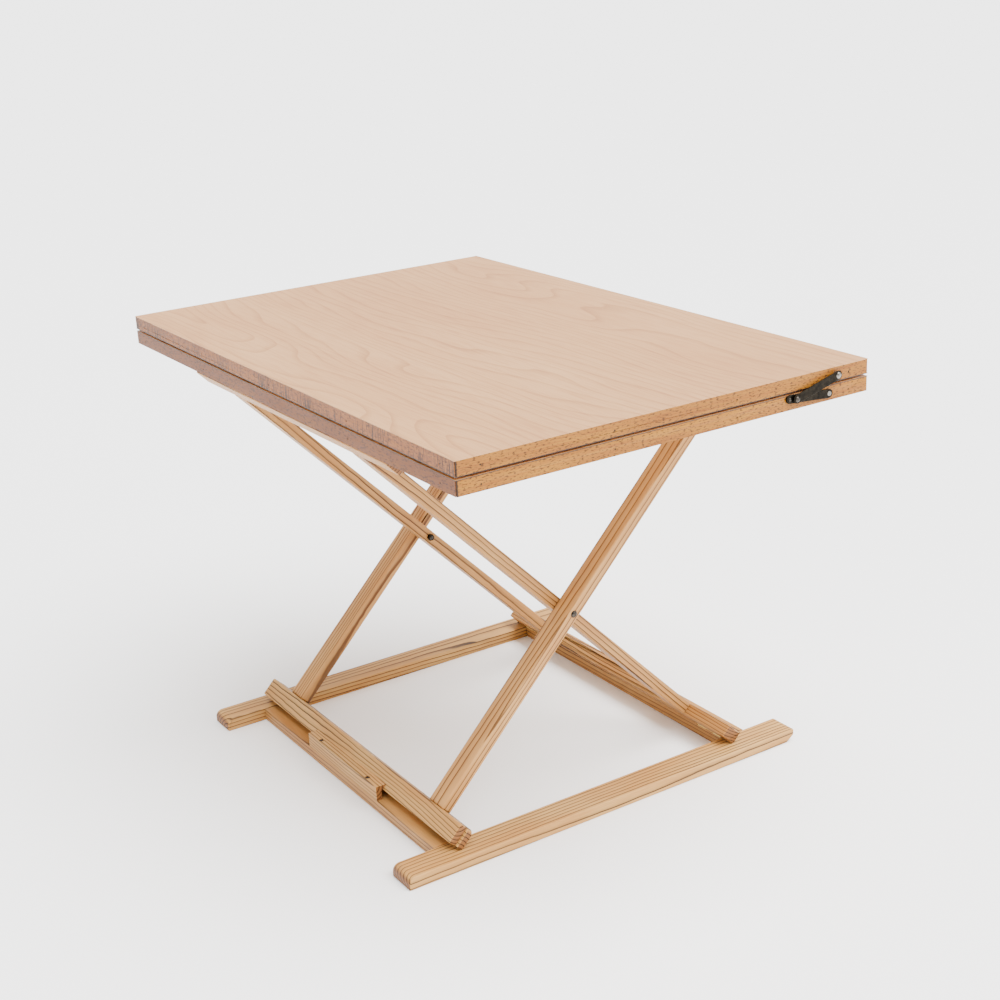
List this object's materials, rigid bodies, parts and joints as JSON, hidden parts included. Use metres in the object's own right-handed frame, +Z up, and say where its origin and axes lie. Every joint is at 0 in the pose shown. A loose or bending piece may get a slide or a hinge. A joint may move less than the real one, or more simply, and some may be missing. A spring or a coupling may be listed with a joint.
{
  "type": "flip-top folding table",
  "caption": "Low wooden table on a folding scissor base, its double top hinged on side links so that the upper leaf flips open to twice the surface.",
  "frame": {"origin": "on the floor, under the middle of the table (middle of the bounding box)", "axes": "+X from the keeper block side to the side where the rear frame is hinged, +Y along the long edges of the top, +Z up"},
  "size_m": [0.64, 0.916, 0.6036],
  "materials": {
    "pine_base": "satin",
    "pale_pine": "satin",
    "dowel_wood": "matte",
    "beech_edging": "satin",
    "top_decor": "satin",
    "core_board": "matte",
    "brass": "satin",
    "dark_link_steel": "satin",
    "bright_steel": "gloss",
    "soft_pad": "matte"
  },
  "bodies": {
    "base": {"near_runner": "pine_base", "far_runner": "pine_base", "front_crossbar": "pine_base", "rear_crossbar": "pine_base", "base_dowels": "dowel_wood", "keeper_block": "pine_base", "keeper_screws": "bright_steel", "floor_hinge_plates": "brass", "floor_hinge_pins": "brass", "floor_hinge_screws": "brass"},
    "rear_frame": {"rear_leg_near": "pine_base", "rear_leg_far": "pine_base", "rear_bottom_rail": "pine_base", "rear_top_rail": "pale_pine", "rear_frame_dowels": "dowel_wood", "rear_hinge_plates": "brass", "rear_hinge_screws": "brass", "guide_pins": "bright_steel"},
    "front_frame": {"front_leg_near": "pale_pine", "front_leg_far": "pale_pine", "front_rail": "pine_base", "front_rail_backing": "pine_base", "front_top_rail": "pine_base", "front_frame_dowels": "dowel_wood", "pivot_bolts": "bright_steel", "pivot_nuts": "dark_link_steel", "front_hinge_plates": "brass", "front_hinge_screws": "brass"},
    "lower_leaf": {"lower_core": "core_board", "lower_laminate": "top_decor", "lower_edging_front": "beech_edging", "lower_edging_back": "beech_edging", "lower_edging_near": "beech_edging", "lower_edging_far": "beech_edging", "lower_edging_nails": "bright_steel", "slide_guides": "pale_pine", "top_hinge_plates": "brass", "top_hinge_pins": "brass", "top_hinge_screws": "brass", "bumper_pads": "soft_pad", "lower_link_screws": "bright_steel"},
    "lower_links": {"lower_link_near": "dark_link_steel", "lower_link_far": "dark_link_steel", "link_rivets": "bright_steel", "stay_rivets": "bright_steel"},
    "upper_links": {"upper_link_near": "dark_link_steel", "upper_link_far": "dark_link_steel"},
    "upper_leaf": {"upper_core": "core_board", "upper_laminate": "top_decor", "inner_laminate": "top_decor", "upper_edging_front": "beech_edging", "upper_edging_back": "beech_edging", "upper_edging_near": "beech_edging", "upper_edging_far": "beech_edging", "upper_edging_nails": "bright_steel", "upper_link_screws": "bright_steel"}
  },
  "joints": [
    {"name": "raise", "type": "hinge", "parent": "base", "child": "rear_frame", "pos_m": [0.223, 0, 0.0213], "axis": [0, 1, 0], "range_deg": [0, 20]},
    {"name": "scissor", "type": "hinge", "parent": "rear_frame", "child": "front_frame", "pos_m": [-0.00458, 0, 0.2631], "axis": [0, 1, 0], "range_deg": [-40.01, 0.01]},
    {"name": "top_level", "type": "hinge", "parent": "front_frame", "child": "lower_leaf", "pos_m": [0.27608, 0, 0.55929], "axis": [0, 1, 0], "range_deg": [-0.01, 20.01]},
    {"name": "flip", "type": "hinge", "parent": "lower_leaf", "child": "lower_links", "pos_m": [0.222, 0, 0.57209], "axis": [0, 1, 0], "range_deg": [0, 185.25]},
    {"name": "elbow", "type": "hinge", "parent": "lower_links", "child": "upper_links", "pos_m": [0.16717, 0, 0.57642], "axis": [0, 1, 0], "range_deg": [-179.08, 0.01]},
    {"name": "leaf_turn", "type": "hinge", "parent": "upper_links", "child": "upper_leaf", "pos_m": [0.234, 0, 0.59359], "axis": [0, 1, 0], "range_deg": [-0.01, 173.83]}
  ],
  "couplings": [
    {"joint": "scissor", "follows": "raise", "ratio": -2},
    {"joint": "top_level", "follows": "raise", "ratio": 1},
    {"joint": "elbow", "follows": "flip", "ratio": -0.96642},
    {"joint": "leaf_turn", "follows": "flip", "ratio": 0.93808}
  ]
}
